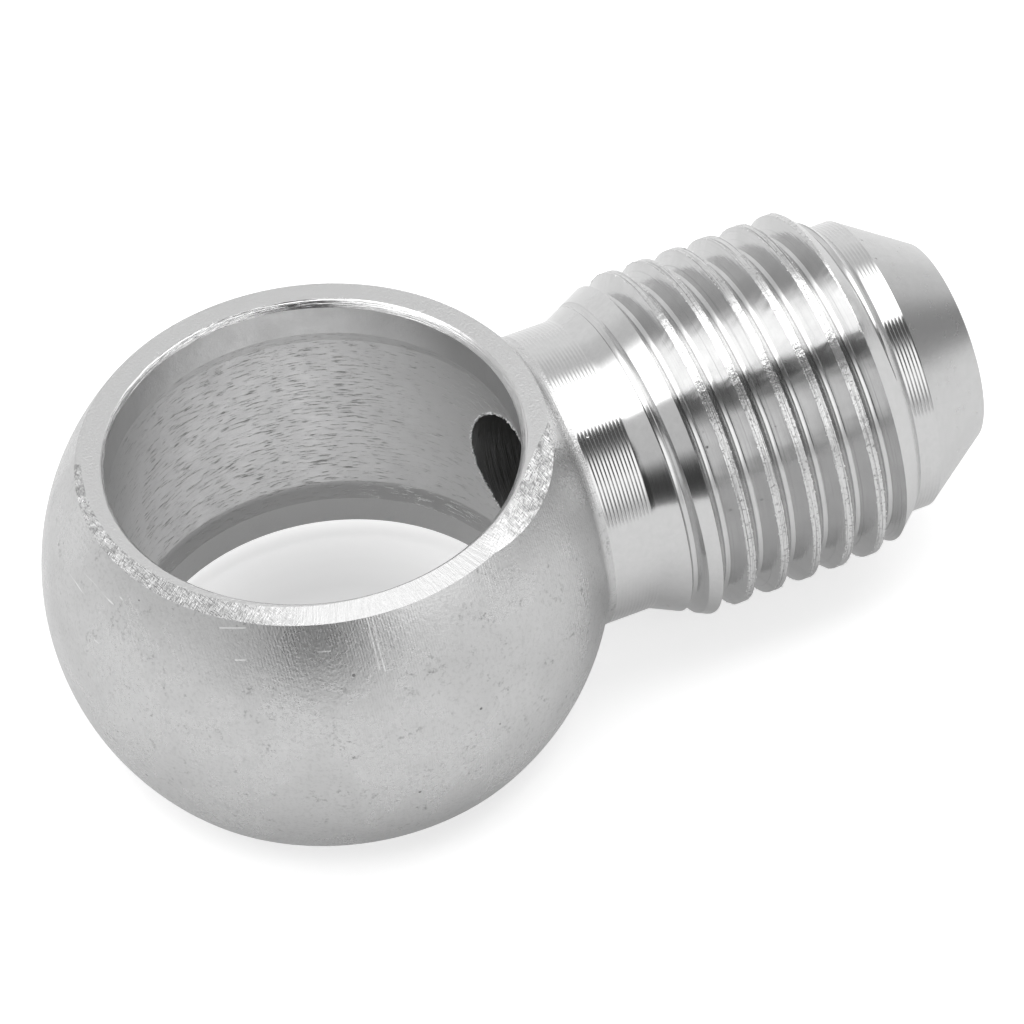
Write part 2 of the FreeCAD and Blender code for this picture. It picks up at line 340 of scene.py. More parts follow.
def together(tree, *parts):
    """A vector from its parts."""
    return node(tree, "ShaderNodeCombineXYZ", None, dict(enumerate(parts))).outputs[0]


def rise(tree, value, start, end):
    """Go from 0 to 1 as a value goes from start to end."""
    inputs = {"Value": value, "From Min": start, "From Max": end}
    return node(tree, "ShaderNodeMapRange", None, inputs).outputs[0]


def clouds(tree, where, scale, detail, roughness=0.5, distortion=0.0):
    """Soft noise, from 0 to 1."""
    inputs = {"Vector": where, "Scale": scale, "Detail": detail}
    inputs.update({"Roughness": roughness, "Distortion": distortion})
    return node(tree, "ShaderNodeTexNoise", None, inputs).outputs["Fac"]


def blend(tree, base, mask, changed):
    """Go from one value to another where the mask is white."""
    inputs = {"Factor": mask, "A": base, "B": changed}
    return node(tree, "ShaderNodeMix", {"data_type": "FLOAT"}, inputs).outputs[0]


def cells(tree, where, scale):
    """The distance to the middle of each cell, and two random values of the cell."""
    made = node(tree, "ShaderNodeTexVoronoi", None, {"Vector": where, "Scale": scale}).outputs
    chance = node(tree, "ShaderNodeSeparateColor", None, {0: made["Color"]}).outputs
    return made["Distance"], chance[0], chance[1]


# Materials

FINISHES = [
    "Turned ball",
    "Turned stem",
    "Thread flank",
    "Thread crest",
    "Sealing cone",
    "Milled flat",
    "Bore edge",
    "Ground facet",
    "Bore land",
    "Torn groove",
    "Drilled passage",
    "Burr",
]
BALL, STEM, FLANK, CREST, SEAT, FLAT, EDGE, GROUND, LAND, TORN, DRILLED, BURR = range(
    len(FINISHES)
)


def turned_lines_group():
    """Marks of turning, from 0 to 1: even rings of the tool's feed, with fine lines between."""
    inputs = {"Along": 0.0, "Around": "Vector", "Spacing": 0.1, "Wander": 0.1, "Rings": 0.5}
    tree, given, result = mark_group("Turned lines", "Height", inputs)
    aside = vectors(tree, "SCALE", given["Around"], Scale=given["Wander"])
    feeds = sums(tree, "DIVIDE", given["Along"], given["Spacing"])
    phase = sums(tree, "FRACT", sums(tree, "ADD", feeds, clouds(tree, aside, 1.0, 1.0)))
    from_middle = sums(tree, "MULTIPLY_ADD", phase, 2.0, -1.0)
    ring = sums(tree, "MULTIPLY", from_middle, from_middle)

    parts = apart(tree, aside)
    where = together(tree, sums(tree, "MULTIPLY", feeds, 1.7), parts[0], parts[1])
    lines = clouds(tree, where, 1.0, 3.0, 0.6)
    wire(tree, blend(tree, lines, given["Rings"], ring), result.inputs["Height"])


def scratches_group():
    """Thin straight scratches that run one way, kept only in patches."""
    inputs = {"Vector": "Vector", "Length": 3.0, "Width": 0.12, "Amount": 0.3}
    tree, given, result = mark_group("Scratches", "Mask", inputs)
    bent = node(
        tree,
        "ShaderNodeTexNoise",
        None,
        {"Vector": given["Vector"], "Scale": 0.35, "Detail": 1.0},
    ).outputs["Color"]
    pushed = vectors(tree, "MULTIPLY_ADD", bent, (0.5, 0.5, 0.5), given["Vector"])
    sizes = (given["Length"], given["Width"], given["Width"])
    shrunk = [sums(tree, "DIVIDE", part, size) for part, size in zip(apart(tree, pushed), sizes)]
    distance, chance, _ = cells(tree, together(tree, *shrunk), 0.35)
    kept = sums(tree, "LESS_THAN", chance, given["Amount"])
    line = rise(tree, distance, 0.16, 0.08)
    wire(tree, sums(tree, "MULTIPLY", line, kept), result.inputs["Mask"])


def pits_group():
    """Small dark pits, scattered thinly."""
    inputs = {"Vector": "Vector", "Spacing": 1.0, "Size": 0.1, "Amount": 0.4}
    tree, given, result = mark_group("Pits", "Mask", inputs)
    scale = sums(tree, "DIVIDE", 1.0, given["Spacing"])
    distance, chance, share_of_size = cells(tree, given["Vector"], scale)
    kept = sums(tree, "LESS_THAN", chance, given["Amount"])
    size = sums(tree, "MULTIPLY", share_of_size, given["Size"])
    soft = rise(tree, sums(tree, "SUBTRACT", size, distance), 0.0, 0.03)
    wire(tree, sums(tree, "MULTIPLY", soft, kept), result.inputs["Mask"])


def score_group():
    """One straight score between two points."""
    inputs = {"Vector": "Vector", "From": "Vector", "To": "Vector", "Width": 0.05}
    tree, given, result = mark_group("Score", "Mask", inputs)
    course = vectors(tree, "SUBTRACT", given["To"], given["From"])
    away = vectors(tree, "SUBTRACT", given["Vector"], given["From"])
    ahead = vectors(tree, "DOT_PRODUCT", away, course, output="Value")
    whole = vectors(tree, "DOT_PRODUCT", course, course, output="Value")
    clamped = {"operation": "DIVIDE", "use_clamp": True}
    part = node(tree, "ShaderNodeMath", clamped, {0: ahead, 1: whole}).outputs[0]
    foot = vectors(tree, "SCALE", course, Scale=part)
    gap = vectors(tree, "DISTANCE", away, foot, output="Value")
    line = rise(tree, sums(tree, "DIVIDE", gap, given["Width"]), 0.5, 0.2)
    wire(tree, line, result.inputs["Mask"])


def stains_group():
    """Broad soft patches where the steel has dulled."""
    inputs = {"Vector": "Vector", "Spacing": 3.0}
    tree, given, result = mark_group("Stains", "Mask", inputs)
    scale = sums(tree, "DIVIDE", 1.0, given["Spacing"])
    patches = clouds(tree, given["Vector"], scale, 6.0, 0.65, 0.4)
    wire(tree, rise(tree, patches, 0.35, 0.72), result.inputs["Mask"])


class Finish:
    """A steel material in the making: the place on it in millimetres, and layers over it."""

    def __init__(self, name, roughness, brightness):
        self.material = bpy.data.materials.new(name)
        self.material.use_nodes = True
        self.material.diffuse_color = (brightness, brightness, brightness, 1)
        self.tree = self.material.node_tree
        self.steel = self.tree.nodes["Principled BSDF"]
        self.steel.inputs["Metallic"].default_value = 1.0
        self.roughness = roughness
        self.brightness = brightness
        place = node(self.tree, "ShaderNodeTexCoord").outputs["Object"]
        self.place = vectors(self.tree, "SCALE", place, Scale=1 / MM)
        self.heights = []

    def turn(self, degrees):
        """The place, turned about the bore's axis."""
        turned_place = node(self.tree, "ShaderNodeMapping", None, {"Vector": self.place})
        turned_place.inputs["Rotation"].default_value = (0, 0, degrees * DEG)
        return turned_place.outputs[0]

    def group(self, name, **inputs):
        """Place a shader node group and give its first output."""
        group = {"node_tree": bpy.data.node_groups[name]}
        return node(self.tree, "ShaderNodeGroup", group, inputs).outputs[0]

    def over(self, name, **inputs):
        """Place a shader node group that reads the place."""
        return self.group(name, Vector=self.place, **inputs)

    def parts(self):
        """The three parts of the place."""
        return apart(self.tree, self.place)

    def lines(self, along, around, spacing, wander, rings=0.0):
        """Marks of turning that follow one measure, and wander with another."""
        return self.group(
            "Turned lines",
            Along=along,
            Around=around,
            Spacing=spacing,
            Wander=wander,
            Rings=rings,
        )

    def turned_lines(self, spacing, wander, rings=0.0):
        """Marks of turning about the stem's axis."""
        along, *across = self.parts()
        return self.lines(along, together(self.tree, *across), spacing, wander, rings)

    def cut_lines(self, spacing, wander):
        """Lines that follow the thread around the stem."""
        along, aside, up = self.parts()
        turn = sums(self.tree, "ARCTAN2", self.times(aside, -1.0), up)
        advance = -millimetres(bpy.context.scene.fitting_thread, "pitch") / (2 * math.pi)
        led = sums(self.tree, "MULTIPLY_ADD", turn, advance, along)
        return self.lines(led, together(self.tree, aside, up), spacing, wander)

    def grain(self, scale, detail=3.0):
        """Even grain over the surface, from 0 to 1."""
        return clouds(self.tree, self.place, scale, detail, 0.7)

    def rise(self, value, start, end):
        return rise(self.tree, value, start, end)

    def times(self, first, second):
        return sums(self.tree, "MULTIPLY", first, second)

    def below(self, height):
        """White under a height in millimetres."""
        return self.rise(self.parts()[2], height, height - 0.3)

    def beside(self, start, end):
        """Rise from 0 to 1 away from the middle of the eye, along the stem's axis."""
        return self.rise(sums(self.tree, "ABSOLUTE", self.parts()[0]), start, end)

    def layer(self, mask, roughness=None, brightness=None, height=None):
        """Change the steel under a mask, and raise or sink it by a height in millimetres."""
        if roughness is not None:
            self.roughness = blend(self.tree, self.roughness, mask, roughness)
        if brightness is not None:
            self.brightness = blend(self.tree, self.brightness, mask, brightness)
        if height is not None:
            self.heights.append(self.times(mask, height))

    def pits(self, spacing, size, amount, roughness=0.5, brightness=0.3, height=-0.006):
        """Small dark pits."""
        mask = self.over("Pits", Spacing=spacing, Size=size, Amount=amount)
        self.layer(mask, roughness=roughness, brightness=brightness, height=height)

    def done(self):
        """Connect the layers to the steel."""
        if isinstance(self.roughness, float):
            self.steel.inputs["Roughness"].default_value = self.roughness
        else:
            wire(self.tree, self.roughness, self.steel.inputs["Roughness"])
        if isinstance(self.brightness, float):
            self.steel.inputs["Base Color"].default_value = (*[self.brightness] * 3, 1)
        else:
            grey = dict.fromkeys(range(3), self.brightness)
            colour = node(self.tree, "ShaderNodeCombineColor", None, grey)
            wire(self.tree, colour.outputs[0], self.steel.inputs["Base Color"])
        if self.heights:
            total = self.heights[0]
            for height in self.heights[1:]:
                total = sums(self.tree, "ADD", total, height)
            bump = node(self.tree, "ShaderNodeBump", None, {"Height": total, "Distance": MM})
            wire(self.tree, bump.outputs["Normal"], self.steel.inputs["Normal"])
        return self.material


# Bright scores under the front of the rim: the bearings in degrees and the heights in millimetres
# that each one runs through.
SCORES = [
    [(-99.4, 6.3), (-99.2, 5.4), (-98.9, 4.4)],
    [(-98.3, 6.2), (-98.1, 5.3), (-97.8, 4.3)],
    [(-134.2, 5.97), (-128.2, 6.12)],
    [(-130.0, 4.96), (-127.8, 5.02)],
    [(-111.5, 5.38), (-108.9, 5.38)],
]


def on_ball(bearing, height):
    """The point of the ball at a bearing and a height, in millimetres."""
    out = math.sqrt((LOW[0] / MM) ** 2 - height**2)
    return (out * math.cos(bearing * DEG), out * math.sin(bearing * DEG), height)


def turned_ball():
    """Satin ball, with rings about the stem's axis, scratches, stains and pits."""
    finish = Finish("Turned ball", 0.24, 0.57)
    stains = finish.over("Stains", Spacing=4.0)
    lines = finish.turned_lines(0.107, 0.06, 0.6)
    finish.layer(finish.times(lines, blend(finish.tree, 0.006, stains, 0.0015)), height=1.0)
    finish.layer(finish.turned_lines(0.3, 0.2), brightness=0.64)
    finish.layer(stains, roughness=0.34, brightness=0.53)
    finish.layer(finish.grain(8.0), height=0.02)
    blotches = finish.rise(finish.grain(1.1, 6.0), 0.54, 0.66)
    specks = finish.rise(finish.grain(6.0, 4.0), 0.5, 0.66)
    marks = finish.times(specks, blend(finish.tree, 0.2, blotches, 0.9))
    finish.layer(marks, roughness=0.4, brightness=0.25)
    scratches = finish.group(
        "Scratches", Vector=finish.turn(84), Length=5.0, Width=0.1, Amount=0.12
    )
    finish.layer(scratches, roughness=0.42, brightness=0.8, height=-0.003)
    finish.pits(0.9, 0.1, 0.25, roughness=0.6, brightness=0.25, height=-0.01)
    for course in SCORES:
        for start, end in zip(course, course[1:]):
            score = finish.over("Score", From=on_ball(*start), To=on_ball(*end), Width=0.08)
            finish.layer(finish.times(score, 0.55), roughness=0.5, brightness=0.98)
    return finish.done()


def turned_stem():
    """Bright turned neck, shoulder, lead-in and nose."""
    finish = Finish("Turned stem", 0.12, 0.62)
    finish.layer(finish.turned_lines(0.06, 0.12), height=0.0015)
    finish.layer(finish.times(finish.over("Stains", Spacing=0.3), 0.25), brightness=0.45)
    finish.pits(1.0, 0.08, 0.2)
    return finish.done()


def thread_flank():
    """Cut flanks and roots of the thread, with fine lines that follow it."""
    finish = Finish("Thread flank", 0.14, 0.6)
    lines = finish.cut_lines(0.07, 0.08)
    finish.layer(lines, height=0.004)
    finish.layer(finish.rise(lines, 0.58, 0.7), brightness=0.42)
    finish.layer(finish.over("Stains", Spacing=1.2), roughness=0.19, brightness=0.54)
    finish.pits(0.7, 0.1, 0.2, brightness=0.2)
    return finish.done()


def thread_crest():
    """Torn crests of the thread, streaked along them."""
    finish = Finish("Thread crest", 0.16, 0.66)
    lines = finish.cut_lines(0.05, 0.2)
    finish.layer(lines, height=0.012)
    finish.layer(finish.rise(lines, 0.52, 0.62), brightness=0.3)
    finish.layer(finish.grain(7.0), height=0.012)
    torn = finish.rise(finish.grain(10.0, 4.0), 0.55, 0.62)
    finish.layer(finish.times(torn, 0.7), roughness=0.4, brightness=0.15)
    return finish.done()


def sealing_cone():
    """Smooth sealing cone."""
    finish = Finish("Sealing cone", 0.25, 0.6)
    finish.layer(finish.turned_lines(0.08, 0.1, 0.3), height=0.0012)
    specks = finish.times(finish.over("Stains", Spacing=0.4), 0.3)
    finish.layer(specks, roughness=0.35, brightness=0.48)
    finish.pits(1.2, 0.08, 0.2, brightness=0.35)
    return finish.done()


def milled_flat():
    """Smooth flats, with a fine grain and a few light scratches."""
    finish = Finish("Milled flat", 0.3, 0.53)
    finish.layer(finish.grain(9.0), height=0.016)
    scratches = finish.group(
        "Scratches", Vector=finish.turn(20), Length=1.6, Width=0.08, Amount=0.06
    )
    finish.layer(scratches, brightness=0.95, height=-0.004)
    return finish.done()


def bore_edge():
    """Chamfers of the bore, burnished in streaks around them."""
    finish = Finish("Bore edge", 0.14, 0.62)
    along, aside, up = finish.parts()
    around = together(finish.tree, along, aside)
    finish.layer(finish.lines(up, around, 0.07, 0.35), height=0.03)
    return finish.done()


def ground_facet():
    """Hand-ground steel: bright, streaked outwards at the front, and cross-cut at its ends."""
    finish = Finish("Ground facet", 0.26, 0.7)
    along, aside, _ = finish.parts()
    bearing = sums(finish.tree, "ARCTAN2", aside, along)
    out = vectors(finish.tree, "LENGTH", finish.place, output="Value")
    where = together(finish.tree, finish.times(bearing, 70.0), finish.times(out, 1.2))
    finish.layer(clouds(finish.tree, where, 1.0, 3.0, 0.65), height=0.013)
    ends = finish.beside(3.5, 6.5)
    for degrees in (-105, -48):
        along, across, _ = apart(finish.tree, finish.turn(degrees))
        drawn = together(finish.tree, finish.times(along, 3.0), finish.times(across, 19.0))
        cuts = clouds(finish.tree, drawn, 1.0, 2.0, 0.6)
        finish.layer(finish.times(cuts, ends), height=0.03)
        finish.layer(finish.times(finish.rise(cuts, 0.5, 0.66), ends), brightness=0.25)
    dulled = finish.over("Stains", Spacing=0.4)
    finish.layer(finish.times(dulled, ends), roughness=0.4, brightness=0.2)
    return finish.done()


def bore_land():
    """Reamed lands of the bore, with painted shade: darker towards the stem's side and the side
    across from it, and low in the bore.
    """
    finish = Finish("Bore land", 0.28, 0.82)
    finish.layer(finish.over("Stains", Spacing=1.5), roughness=0.36, brightness=0.7)
    finish.layer(finish.grain(6.0), height=0.015)
    # Painted shade: darker towards the stem's side of the bore and the side across from it.
    finish.layer(finish.beside(2.5, 7.5), brightness=0.5)
    # Painted shade: darker low in the bore.
    finish.layer(finish.below(-4.0), brightness=0.46)
    return finish.done()


def torn_groove():
    """Oil groove with coarse torn tool marks around the bore, and painted shade: darker towards
    the stem's side and the side across from it, and low in the bore.
    """
    finish = Finish("Torn groove", 0.36, 0.88)
    along, aside, up = finish.parts()
    where = together(finish.tree, along, aside, finish.times(up, 9.0))
    tears = clouds(finish.tree, where, 1.7, 4.0, 0.62)
    finish.layer(finish.over("Stains", Spacing=1.5), roughness=0.4, brightness=0.78)
    grain = finish.group("Stains", Vector=where, Spacing=0.6)
    finish.layer(finish.times(grain, 0.4), brightness=0.6)
    # Painted shade: darker towards the stem's side of the bore and the side across from it.
    finish.layer(finish.beside(2.5, 7.5), brightness=0.58)
    finish.layer(finish.rise(tears, 0.57, 0.7), roughness=0.5, brightness=0.36, height=-0.02)
    # Painted shade: darker low in the bore.
    finish.layer(finish.below(-3.9), brightness=0.5)
    return finish.done()


def drilled_passage():
    """Dark drilled wall of the passage."""
    finish = Finish("Drilled passage", 0.35, 0.36)
    finish.layer(finish.turned_lines(0.3, 0.5), height=0.02)
    return finish.done()


def burr():
    """Pale torn steel of the burrs."""
    finish = Finish("Burr", 0.4, 0.85)
    finish.steel.inputs["Metallic"].default_value = 0.4
    return finish.done()


def all_finishes():
    """Every steel finish, in the order of FINISHES."""
    for make in (turned_lines_group, scratches_group, pits_group, score_group, stains_group):
        make()
    return [
        turned_ball(),
        turned_stem(),
        thread_flank(),
        thread_crest(),
        sealing_cone(),
        milled_flat(),
        bore_edge(),
        ground_facet(),
        bore_land(),
        torn_groove(),
        drilled_passage(),
        burr(),
    ]


# Steel body

COLUMNS = 256
# How far the cutting tools reach past the ball, in millimetres. The shoulder stands close by.
CLEAR_OF_BALL = 0.3


def crest_span(stem, thread):
    """Where along the stem the crests begin and end."""
    rise_up = millimetres(thread, "radius") - millimetres(stem, "neck_radius")
    low = millimetres(stem, "shoulder_foot") + rise_up / math.tan(stem.shoulder_angle)
    high = millimetres(stem, "lead_foot") - rise_up / math.tan(stem.lead_angle)
    return low, high


def rim_radius(eye):
    """Radius of the circle where the ball meets each flat."""
    ball, half = millimetres(eye, "ball_radius", "half_height")
    return math.sqrt(ball**2 - half**2)


def turned_blank(eye, stem, thread, materials):
    """The whole outside, turned about the stem's axis, with the passage bored up to the eye."""
    ball, edge = millimetres(eye, "ball_radius", "edge_break")
    crest = millimetres(thread, "radius")
    passage, neck, fillet = millimetres(stem, "passage_radius", "neck_radius", "neck_fillet")
    shoulder_foot, lead_foot = millimetres(stem, "shoulder_foot", "lead_foot")
    seat_start, end = millimetres(stem, "seat_start", "end")
    shoulder_top, lead_top = crest_span(stem, thread)
    tip = neck - (end - seat_start) * math.tan(stem.seat_angle)
    feed, tool = millimetres(stem, "tool_feed", "tool_nose")

    # The passage's inner end lies inside the bore, which is cut later.
    outline = Profile(passage, 0)
    outline.to(passage, passage, DRILLED)
    outline.to(end - edge, passage, DRILLED, 24)
    outline.to(end, passage + edge, DRILLED)
    outline.to(end, tip - edge, SEAT, 3)
    outline.to(end - edge, tip + edge * math.tan(stem.seat_angle), SEAT)
    outline.to(seat_start, neck, SEAT, 12)
    outline.ringed(lead_foot, feed, tool, STEM)
    outline.to(lead_top, crest, STEM, 8)
    outline.to(shoulder_top, crest, CREST)
    outline.to(shoulder_foot, neck, STEM, 12)

    blend_along = math.sqrt((ball + fillet) ** 2 - (neck + fillet) ** 2)
    blend_out = neck + fillet
    meeting = math.atan2(blend_out, blend_along)
    outline.ringed(blend_along, feed, tool, STEM)
    outline.around((blend_along, blend_out), fillet, 1.5 * math.pi, math.pi + meeting, 8, BALL)
    outline.around((0, 0), ball, meeting, math.pi, 110, BALL)
    return turned("blank", outline.points, outline.finishes, COLUMNS, materials)


def spool(eye, materials):
    """What the bore, its oil groove, the two flats and their broken edges take away."""
    ball, half, bore = millimetres(eye, "ball_radius", "half_height", "bore_radius")
    upper, lower = millimetres(eye, "upper_chamfer", "lower_chamfer")
    bulge, slide = millimetres(eye, "edge_bulge", "edge_slide")
    depth, height, taper = millimetres(eye, "groove_depth", "land_height", "groove_taper")
    groove = bore + depth
    land = half - height
    edge = millimetres(eye, "edge_break")
    rim = rim_radius(eye)
    far = ball + CLEAR_OF_BALL
    beyond = ball + 1

    outline = Profile(-beyond, 0)
    outline.to(-beyond, far, FLAT)
    outline.to(-half + edge, far, FLAT)
    outline.to(-half + edge, rim + 2 * edge, FLAT)
    outline.to(-half, rim - edge, BALL)
    outline.to(-half, bore + lower, FLAT)
    outline.to(-half + lower, bore, EDGE)
    outline.to(-land, bore, LAND, 4)
    outline.to(-land + taper, groove, TORN, 3)
    outline.to(land - taper, groove, TORN, 16)
    outline.to(land, bore, TORN, 3)
    outline.to(half - upper, bore, LAND, 4)
    outline.to(half, bore + upper, EDGE, 5)
    outline.to(half, rim - edge, FLAT)
    outline.to(half - edge, rim + 2 * edge, BALL)
    outline.to(half - edge, far, FLAT)
    outline.to(beyond, far, FLAT)
    outline.to(beyond, 0, FLAT)

    def rounded(along, out, step):
        """Rounds the bore's upper chamfer, and narrows it on one side."""
        if along < half - upper or out > bore + upper:
            return along, out
        part = (out - bore) / upper
        width = upper - slide * (1 - math.cos(bearing_of(step) - eye.edge_bearing))
        crown = 4 * part * (1 - part) * bulge * width / upper
        return half - (1 - part) * width + crown, bore + part * width

    tool = turned(
        "spool", outline.points, outline.finishes, COLUMNS, materials, phase=0.5, worn=rounded
    )
    stand_up(tool)
    return tool


def facet_wedge(eye, materials):
    """The wedge that the deeper ground facet takes off the upper rim."""
    half = millimetres(eye, "half_height")
    rim = rim_radius(eye)
    inner = sum(millimetres(eye, "bore_radius", "upper_chamfer", "facet_land"))
    outer = rim + 1
    half_width = math.sqrt(rim**2 - inner**2) + 0.5
    drop = (outer - inner) * math.tan(eye.facet_tilt)
    above = half + 2
    side = [(inner - 0.5, half + 0.5 * math.tan(eye.facet_tilt)), (outer, half - drop)]
    side += [(outer, above), (inner - 0.5, above)]
    vertices = [(out, width, up) for width in (-half_width, half_width) for out, up in side]
    faces = [(0, 1, 2, 3), (7, 6, 5, 4)]
    faces += [(i, i + 4, (i + 1) % 4 + 4, (i + 1) % 4) for i in range(4)]
    wedge = mesh_object("wedge", vertices, faces, materials, [GROUND] * len(faces))
    wedge.data.transform(Matrix.Rotation(eye.facet_bearing, 4, "Z"))
    return wedge


def crescent_ring(eye, materials):
    """The shallow ring, off centre, that the ground crescent takes off the upper flat."""
    half, inner, ball = millimetres(eye, "half_height", "crescent_radius", "ball_radius")
    above = half + 2
    slope = math.tan(eye.crescent_tilt)
    run = ball - inner
    lip = half - run * slope
    sweep = (eye.crescent_end - eye.crescent_start) % (2 * math.pi)

    def ground(along, out, step):
        """Lifts the ring off the flat before the crescent's start and past its end."""
        gone = (bearing_of(step) - eye.crescent_start) % (2 * math.pi)
        if along > lip or gone < sweep:
            return along, out
        past = min(gone - sweep, 2 * math.pi - gone)
        return along + smooth(past, 0, 3 * DEG) * (half - lip + 0.2), out

    outline = Profile(half + inner * slope, 0)
    outline.to(lip, inner + run, GROUND)
    outline.to(above, inner + run, GROUND)
    outline.to(above, 0, GROUND)
    ring = turned(
        "crescent", outline.points, outline.finishes, COLUMNS, materials, phase=0.25, worn=ground
    )
    stand_up(ring)
    ring.data.transform(Matrix.Translation((0, millimetres(eye, "crescent_offset"), 0)))
    return ring


def end_tree(tree, last, given, result):
    """End a tree with real geometry in its material."""
    real = node(tree, "GeometryNodeRealizeInstances", None, {0: last.outputs[0]})
    painted = node(
        tree,
        "GeometryNodeSetMaterial",
        None,
        {"Geometry": real.outputs[0], "Material": given["Material"]},
    )
    wire(tree, painted.outputs[0], result.inputs["Geometry"])


def thread_groove_tree():
    """Geometry Nodes that sweep the thread's groove along its helix, about the X axis."""
    inputs = {
        "Crest radius": 7.1,
        "Pitch": 1.4111,
        "Turns": 8.7,
        "Start": 11.2,
        "Half angle": 30 * DEG,
        "Crest width": 0.34,
        "Root width": 0.2,
        "Root rounding": 0.1,
        "Columns": COLUMNS,
        "Material": "Material",
    }
    tree, given, result = new_group("Geometry", "Thread groove", inputs, "Geometry", "Geometry")
    slope = sums(tree, "TANGENT", given["Half angle"])
    proud = sums(tree, "MULTIPLY", given["Crest width"], 0.5)
    gap = sums(tree, "SUBTRACT", given["Pitch"], given["Crest width"])
    half_gap = sums(tree, "MULTIPLY", gap, 0.5)
    half_mouth = sums(tree, "MULTIPLY_ADD", proud, slope, half_gap)
    half_root = sums(tree, "MULTIPLY", given["Root width"], 0.5)
    depth = sums(tree, "DIVIDE", sums(tree, "SUBTRACT", half_mouth, half_root), slope)
    minus_mouth = sums(tree, "MULTIPLY", half_mouth, -1.0)
    minus_root = sums(tree, "MULTIPLY", half_root, -1.0)
    minus_depth = sums(tree, "MULTIPLY", depth, -1.0)
    section = node(
        tree,
        "GeometryNodeCurvePrimitiveQuadrilateral",
        {"mode": "POINTS"},
        {
            "Point 1": together(tree, 0.0, minus_mouth),
            "Point 2": together(tree, 0.0, half_mouth),
            "Point 3": together(tree, minus_depth, half_root),
            "Point 4": together(tree, minus_depth, minus_root),
        },
    )
    rounded = node(
        tree,
        "GeometryNodeFilletCurve",
        {"mode": "POLY"},
        {"Curve": section.outputs[0], "Count": 3, "Radius": given["Root rounding"]},
    )

    mouth = sums(tree, "ADD", given["Crest radius"], proud)
    height = sums(tree, "MULTIPLY", given["Pitch"], given["Turns"])
    helix = node(
        tree,
        "GeometryNodeCurveSpiral",
        None,
        {
            "Resolution": given["Columns"],
            "Rotations": given["Turns"],
            "Start Radius": mouth,
            "End Radius": mouth,
            "Height": height,
            "Reverse": True,
        },
    )
    upright = node(tree, "GeometryNodeSetCurveNormal", {"mode": "Z_UP"}, {0: helix.outputs[0]})
    swept = node(
        tree,
        "GeometryNodeCurveToMesh",
        None,
        {"Curve": upright.outputs[0], "Profile Curve": rounded.outputs[0], "Fill Caps": True},
    )
    placed = node(
        tree,
        "GeometryNodeTransform",
        None,
        {
            "Geometry": swept.outputs[0],
            "Translation": together(tree, given["Start"]),
            "Rotation": (0.0, math.pi / 2, 0.0),
        },
    )
    end_tree(tree, placed, given, result)
    return tree


def burrs_tree():
    """Geometry Nodes that scatter small flakes of steel along lines."""
    inputs = {
        "Lines": "Geometry",
        "Spacing": 0.1,
        "Size": 0.05,
        "Chance": 0.5,
        "Seed": 1,
        "Material": "Material",
    }
    tree, given, result = new_group("Geometry", "Burrs", inputs, "Geometry", "Geometry")

    def chosen(kind, seed, *bounds):
        """A random value of a kind at each place, between two bounds or by a chance."""
        made = node(
            tree,
            "FunctionNodeRandomValue",
            {"data_type": kind},
            {"Seed": sums(tree, "ADD", given["Seed"], seed)},
        )
        if kind == "BOOLEAN":
            wire(tree, bounds[0], made.inputs["Probability"])
            return made.outputs[3]
        made.inputs[0].default_value, made.inputs[1].default_value = bounds
        return made.outputs[0]

    curves = node(tree, "GeometryNodeMeshToCurve", None, {0: given["Lines"]})
    spaced = node(
        tree,
        "GeometryNodeResampleCurve",
        {"mode": "LENGTH"},
        {"Curve": curves.outputs[0], "Length": given["Spacing"]},
    )
    shift = chosen("FLOAT_VECTOR", 1, (-0.4,) * 3, (0.4,) * 3)
    moved = node(
        tree,
        "GeometryNodeSetPosition",
        None,
        {
            "Geometry": spaced.outputs[0],
            "Offset": vectors(tree, "SCALE", shift, Scale=given["Size"]),
        },
    )
    flake = node(
        tree, "GeometryNodeMeshIcoSphere", None, {"Radius": given["Size"], "Subdivisions": 1}
    )
    placed = node(
        tree,
        "GeometryNodeInstanceOnPoints",
        None,
        {
            "Points": moved.outputs[0],
            "Selection": chosen("BOOLEAN", 2, given["Chance"]),
            "Instance": flake.outputs[0],
            "Rotation": chosen("FLOAT_VECTOR", 3, (0.0,) * 3, (6.28,) * 3),
            "Scale": chosen("FLOAT_VECTOR", 4, (0.4, 0.2, 0.15), (1.0, 0.6, 0.5)),
        },
    )
    end_tree(tree, placed, given, result)
    return tree


def grown(name, tree, inputs, mesh=None):
    """A plain mesh object from a Geometry Nodes tree with its inputs set."""
    carrier = link(bpy.data.objects.new(name, mesh or bpy.data.meshes.new(name)))
    modifier = carrier.modifiers.new("Nodes", "NODES")
    modifier.node_group = tree
    sockets = {
        item.name: item.identifier
        for item in tree.interface.items_tree
        if item.item_type == "SOCKET" and item.in_out == "INPUT"
    }
    for key, value in inputs.items():
        modifier[sockets[key]] = value
    view = bpy.context.evaluated_depsgraph_get()
    mesh = bpy.data.meshes.new_from_object(carrier.evaluated_get(view))
    carrier.modifiers.clear()
    carrier.data = mesh
    return carrier


def thread_groove(thread, materials):
    """The groove that cuts the thread."""
    groove = grown(
        "groove",
        thread_groove_tree(),
        {
            "Crest radius": millimetres(thread, "radius"),
            "Pitch": millimetres(thread, "pitch"),
            "Turns": thread.turns,
            "Start": millimetres(thread, "start"),
            "Half angle": thread.half_angle,
            "Crest width": millimetres(thread, "crest"),
            "Root width": millimetres(thread, "root"),
            "Root rounding": millimetres(thread, "root_rounding"),
            "Material": materials[FLANK],
        },
    )
    mesh = groove.data
    mesh.materials.clear()
    for material in materials:
        mesh.materials.append(material)
    mesh.polygons.foreach_set("material_index", [FLANK] * len(mesh.polygons))
    return groove


